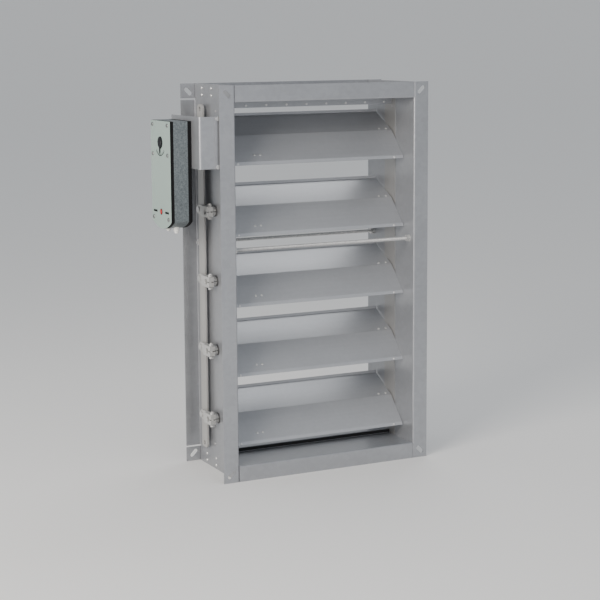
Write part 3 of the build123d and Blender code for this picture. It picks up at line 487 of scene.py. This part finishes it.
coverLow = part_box("actuator_cover")[0]
screwLow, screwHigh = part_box("cover_screws")
hubLow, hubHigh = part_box("output_hub")
topAxle = (hubLow.z + hubHigh.z) / 2
screwShape = {"radiusMm": 4.2, "domeMm": 1.0, "crossMm": (4.8, 1.0), "crossDepthMm": 1.2, "crossTurns": (20, 110),
              "dropMm": 25.0, "sides": 32}
screwRadius = screwShape["radiusMm"] * mm
headHeight = coverLow.x - screwLow.x
screw = roundedHead(screwShape["sides"], screwRadius, headHeight, (0, 0, 0), screwShape["domeMm"] * mm, 4)
crossLength, crossWidth = (size * mm for size in screwShape["crossMm"])
crossSizes = (2 * screwShape["crossDepthMm"] * mm, crossLength, crossWidth)
for turn in screwShape["crossTurns"]:
    cutWith(screw, blockAt((-headHeight / 2, 0, 0), crossSizes, radians(turn)))
screwSides = (screwLow.y + screwRadius, screwHigh.y - screwRadius)
screwLevels = (screwHigh.z - screwRadius, topAxle - screwShape["dropMm"] * mm, screwLow.z + screwRadius)
screwPlaces = [(coverLow.x - headHeight / 2, side, level) for side in screwSides for level in screwLevels]
coverScrews = copiesAt(screw, screwPlaces)
finishPiece(coverScrews, "crossRecessScrews", turnedSteel, "casing", "zinc_fastener", "cover_screws")
print("cover screws made")


# Position pointer on the output hub, with a raised angle scale under it

pointerShape = {"thickMm": 0.5, "clipMm": (8.5, 20.0), "stemMm": (8.0, 23.0), "tip": 0.4, "roundMm": 2.6,
                "stemThin": 0.9, "edgeMm": 0.12}
thick = pointerShape["thickMm"] * mm
pointerFace = screwLow.x + thick / 2
clipWidth, clipHeight = (size * mm for size in pointerShape["clipMm"])
pointer = blockAt((pointerFace, 0, topAxle), (thick, clipWidth, clipHeight))
selectIn(pointer, "EDGE", lambda edge: runsAlongX(pointer, edge))
bpy.ops.mesh.bevel(offset=pointerShape["roundMm"] * mm, segments=5, affect="EDGES")
bpy.ops.object.mode_set(mode="OBJECT")
stemWidth, stemLength = (size * mm for size in pointerShape["stemMm"])
stemSizes = (thick * pointerShape["stemThin"], stemWidth, stemLength)
stem = blockAt((pointerFace, 0, topAxle - stemLength / 2), stemSizes)
selectIn(stem, "FACE", lambda face: face.normal.z < -0.9)
bpy.ops.transform.resize(value=(1, pointerShape["tip"], 1), center_override=(pointerFace, 0, topAxle - stemLength))
bpy.ops.object.mode_set(mode="OBJECT")
selectOnly(pointer, stem)
bpy.ops.object.join()
bevelSharp(pointer, pointerShape["edgeMm"])
finishPiece(pointer, "positionPointer", blackOxide, "blade_1", "hub")

scaleShape = {"radiusMm": 27.5, "widthMm": 1.2, "proudMm": 0.4, "reach": 50.0, "steps": 26, "tickMm": (1.1, 3.2),
              "ticks": 11, "edgeMm": 0.12}
scaleProud = scaleShape["proudMm"] * mm
scaleFace = coverLow.x - scaleProud / 2
scaleStart = -radians(scaleShape["reach"])
scaleRadius = scaleShape["radiusMm"] * mm
bpy.ops.object.select_all(action="DESELECT")
bpy.ops.mesh.primitive_plane_add(size=1, rotation=(radians(90) + scaleStart, 0, 0), location=(
    scaleFace, scaleRadius * sin(scaleStart), topAxle - scaleRadius * cos(scaleStart)))
angleScale = bpy.context.active_object
angleScale.scale = (scaleProud, scaleShape["widthMm"] * mm, 1)
settle(angleScale)
bpy.ops.object.mode_set(mode="EDIT")
bpy.ops.mesh.select_all(action="SELECT")
bpy.ops.mesh.spin(steps=scaleShape["steps"], angle=2 * scaleStart, center=(0, 0, topAxle), axis=(1, 0, 0))
bpy.ops.mesh.select_all(action="SELECT")
bpy.ops.mesh.remove_doubles(threshold=mergeGap / 2)
bpy.ops.mesh.normals_make_consistent(inside=False)
bpy.ops.object.mode_set(mode="OBJECT")
scaleParts = [angleScale]
tickWidth, tickLength = (size * mm for size in scaleShape["tickMm"])
tickRadius = scaleRadius - tickLength / 2
for count in range(scaleShape["ticks"]):
    turn = radians(scaleShape["reach"]) * (2 * count / (scaleShape["ticks"] - 1) - 1)
    tickPlace = (scaleFace, tickRadius * sin(turn), topAxle - tickRadius * cos(turn))
    scaleParts.append(blockAt(tickPlace, (scaleProud, tickWidth, tickLength), turn))
selectOnly(*scaleParts)
bpy.ops.object.join()
bevelSharp(angleScale, scaleShape["edgeMm"])
finishPiece(angleScale, "angleScale", blackOxide, "casing", "hub")


# Push button with a bezel, and two blanked cable slots beside it

buttonShape = {"levelMm": 573.0, "radiusMm": 4.8, "proudMm": 1.3, "roundMm": 0.7, "sides": 32}
bezelShape = {"radiusMm": 6.4, "proudMm": 0.6, "roundMm": 0.3, "sides": 40}
slotShape = {"sizeMm": (20.0, 4.4), "sideMm": 32.0, "proudMm": 0.4, "edgeMm": 0.15}
buttonLevel = buttonShape["levelMm"] * mm


def headOnCover(shape, segments):
    proud = shape["proudMm"] * mm
    return roundedHead(shape["sides"], shape["radiusMm"] * mm, proud, (coverLow.x - proud / 2, 0, buttonLevel),
                       shape["roundMm"] * mm, segments)


button = headOnCover(buttonShape, 3)
finishPiece(button, "testButton", redAcetal, "casing", "hub")
bezel = headOnCover(bezelShape, 2)
bezelParts = [bezel]
slotProud = slotShape["proudMm"] * mm
slotLength, slotHeight = (size * mm for size in slotShape["sizeMm"])
for side in (-1, 1):
    slotPlace = (coverLow.x - slotProud / 2, side * slotShape["sideMm"] * mm, buttonLevel)
    slot = blockAt(slotPlace, (slotProud, slotLength, slotHeight))
    applyModifier(slot, "BEVEL", width=slotShape["edgeMm"] * mm, segments=2, limit_method="NONE")
    bezelParts.append(slot)
selectOnly(*bezelParts)
bpy.ops.object.join()
finishPiece(bezel, "buttonBezelAndSlots", nitrile, "casing", "gasket")
print("actuator face finished")

for nodeName, node in nodes.items():
    node.data.materials.clear()
    node.data.materials.append(nodeFinish[nodeName])


# Stage, light and camera

stageLook = {"floorSize": 60.0, "sweepHeight": 18.0, "sweepRound": 15.0, "floor": "#f0efed", "floorRough": 0.65,
             "sky": "#dfe3e8", "skyStrength": 0.78}
bpy.ops.object.select_all(action="DESELECT")
bpy.ops.mesh.primitive_plane_add(size=stageLook["floorSize"], location=(0, 0, cadBox[0][2]))
floor = bpy.context.active_object
floor.name = "floor"
settle(floor)
# the far edge is raised into a backdrop, then the crease below it is rounded off
farEdge = 0.49 * stageLook["floorSize"]
for raising in (True, False):
    selectIn(floor, "EDGE", lambda edge: all(end.y > farEdge and end.z < 1 for end in endsOf(floor, edge)))
    if raising:
        bpy.ops.mesh.extrude_region_move(TRANSFORM_OT_translate={"value": (0, 0, stageLook["sweepHeight"])})
    else:
        bpy.ops.mesh.bevel(offset=stageLook["sweepRound"], segments=24, affect="EDGES")
    bpy.ops.object.mode_set(mode="OBJECT")
bpy.ops.object.shade_smooth()
floorPaint, floorShader = startMaterial("paleFloor")[:2]
floorShader.inputs["Base Color"].default_value = linearColour(stageLook["floor"])
floorShader.inputs["Roughness"].default_value = stageLook["floorRough"]
floor.data.materials.append(floorPaint)

world = bpy.data.worlds.new("studio")
world.use_nodes = True
background = world.node_tree.nodes["Background"]
background.inputs["Color"].default_value = linearColour(stageLook["sky"])
background.inputs["Strength"].default_value = stageLook["skyStrength"]
bpy.context.scene.world = world

lamps = {
    "key": {"from": (-3.3, -1.9, 1.6), "size": 1.8, "watts": 158, "tint": "#fff8ef"},
    "front": {"from": (-0.2, -3.9, 1.8), "size": 2.2, "watts": 25, "tint": "#f3f6ff"},
    "overhead": {"from": (0.58, 0.52, 1.68), "size": 0.6, "watts": 3.6, "tint": "#ffffff"}}
aim = Vector((0, 0, 0.42))
for name, lamp in lamps.items():
    bpy.ops.object.light_add(type="AREA", location=lamp["from"])
    light = bpy.context.active_object
    light.name = name
    light.data.size = lamp["size"]
    light.data.energy = lamp["watts"]
    light.data.color = linearColour(lamp["tint"])[:3]
    light.rotation_euler = (aim - light.location).to_track_quat("-Z", "Y").to_euler()

shot = {"place": (-1.544, -3.065, 0.931), "lens": 94.8, "sensor": 36.0, "yaw": 25.82, "pitch": 8.37,
        "roll": -0.47, "shift": (0.032, -0.05)}
bpy.ops.object.camera_add()
camera = bpy.context.active_object
camera.data.lens = shot["lens"]
camera.data.sensor_width = shot["sensor"]
camera.data.shift_x, camera.data.shift_y = shot["shift"]
camera.matrix_world = (Matrix.Translation(shot["place"])
                       @ Matrix.Rotation(radians(-shot["yaw"]), 4, "Z")
                       @ Matrix.Rotation(radians(90 - shot["pitch"]), 4, "X")
                       @ Matrix.Rotation(radians(shot["roll"]), 4, "Z"))
bpy.context.scene.camera = camera
print("stage, light and camera set")
